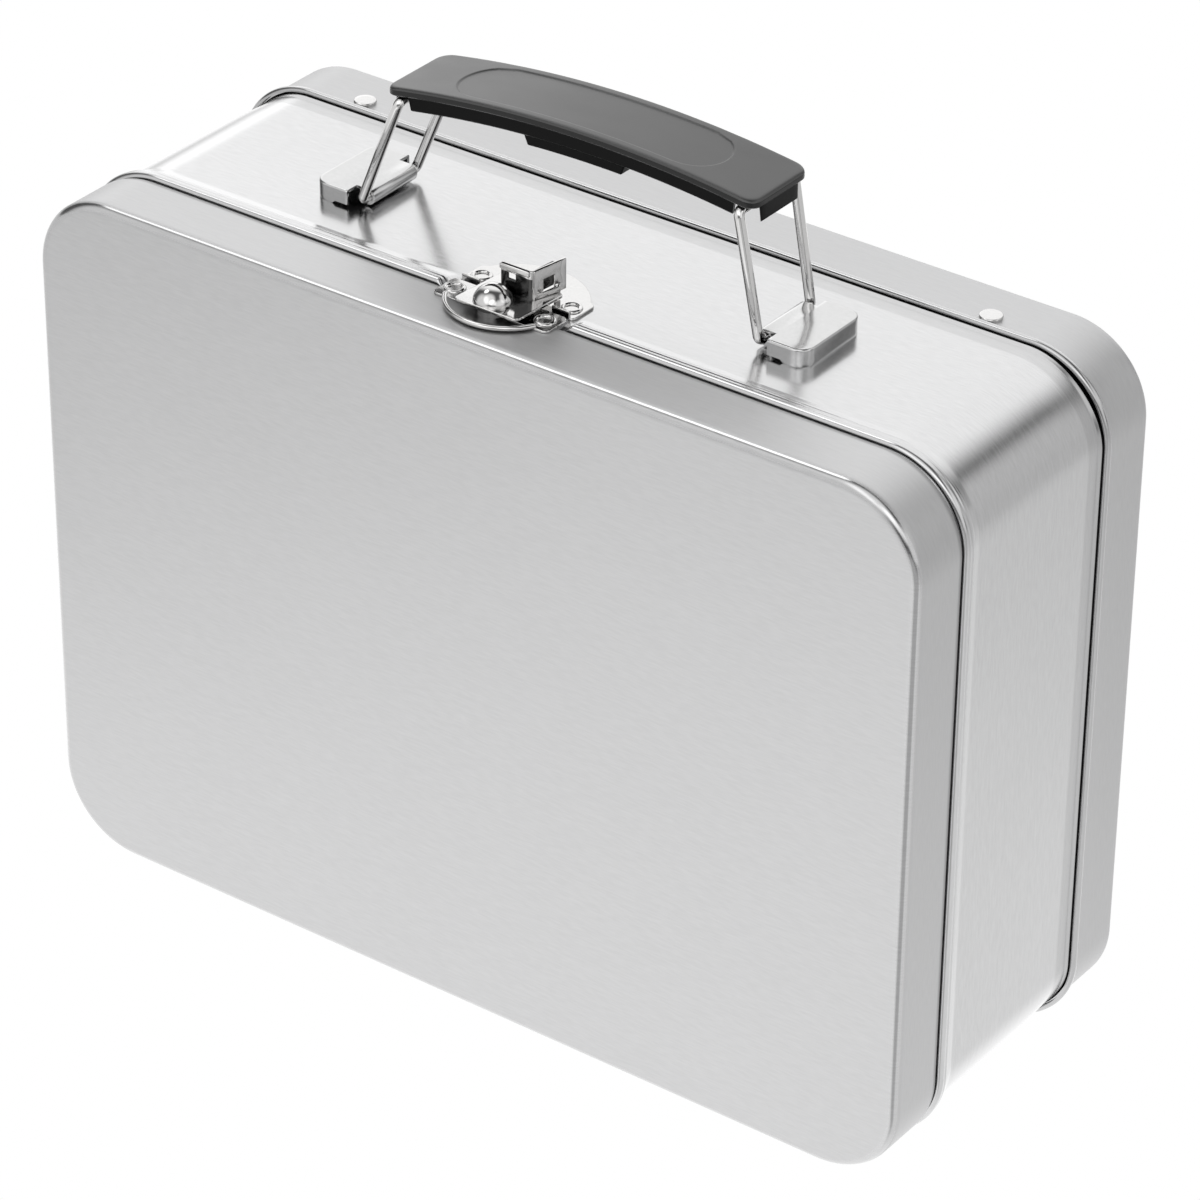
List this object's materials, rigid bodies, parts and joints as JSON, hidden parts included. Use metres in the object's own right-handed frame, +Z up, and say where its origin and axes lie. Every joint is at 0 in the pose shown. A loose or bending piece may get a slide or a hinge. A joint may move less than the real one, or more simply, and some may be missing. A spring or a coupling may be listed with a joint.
{
  "type": "metal lunch box",
  "caption": "Suitcase-style sheet-metal lunch box with a bottom-hinged front lid, a turn latch on top and a plastic grip on swaying wire bails.",
  "frame": {"origin": "on the floor, under the middle of the closed case", "axes": "+X to the right seen from the lid, +Y to the back, +Z up"},
  "size_m": [0.2012, 0.0764, 0.1783],
  "materials": {
    "tinplate": "satin, fine grain along the sheet",
    "bright_steel": "bright plated",
    "black_plastic": "satin moulded"
  },
  "bodies": {
    "body": {"body_band": "tinplate", "back_cover": "tinplate", "cover_rivets": "bright_steel", "mount_cap_left": "bright_steel", "mount_cap_right": "bright_steel", "latch_rear_plate": "bright_steel", "latch_rear_eyelets": "bright_steel", "hinge_leaf_body_left": "bright_steel", "hinge_leaf_body_right": "bright_steel", "hinge_pin_left": "bright_steel", "hinge_pin_right": "bright_steel"},
    "lid": {"front_lid": "tinplate", "hinge_leaf_lid_left": "bright_steel", "hinge_leaf_lid_right": "bright_steel", "latch_front_plate": "bright_steel", "latch_front_eyelets": "bright_steel", "latch_pivot_rivet": "bright_steel"},
    "latch": {"turn_latch": "bright_steel"},
    "bail_left": {"bail_left": "bright_steel"},
    "bail_right": {"bail_right": "bright_steel"},
    "handle": {"grip_shell": "black_plastic", "grip_insert": "black_plastic"}
  },
  "joints": [
    {"name": "lid_hinge", "type": "hinge", "parent": "body", "child": "lid", "pos_m": [0, -0.0243, 0.00125], "axis": [1, 0, 0], "range_deg": [0, 100]},
    {"name": "latch_turn", "type": "hinge", "parent": "lid", "child": "latch", "pos_m": [-0.0005, -0.02645, 0.14905], "axis": [0, 0, -1], "range_deg": [0, 25]},
    {"name": "bail_left_sway", "type": "hinge", "parent": "body", "child": "bail_left", "pos_m": [-0.04515, 0, 0.14805], "axis": [0, 1, 0], "range_deg": [-28, 16]},
    {"name": "bail_right_sway", "type": "hinge", "parent": "body", "child": "bail_right", "pos_m": [0.04515, 0, 0.14805], "axis": [0, 1, 0], "range_deg": [-28, 16]},
    {"name": "grip_pivot", "type": "hinge", "parent": "bail_left", "child": "handle", "pos_m": [-0.03563, 0, 0.17138], "axis": [0, 1, 0], "range_deg": [-19, 33.1]}
  ],
  "couplings": [
    {"joint": "bail_right_sway", "follows": "bail_left_sway", "ratio": 1},
    {"joint": "grip_pivot", "follows": "bail_left_sway", "ratio": -1.18}
  ]
}
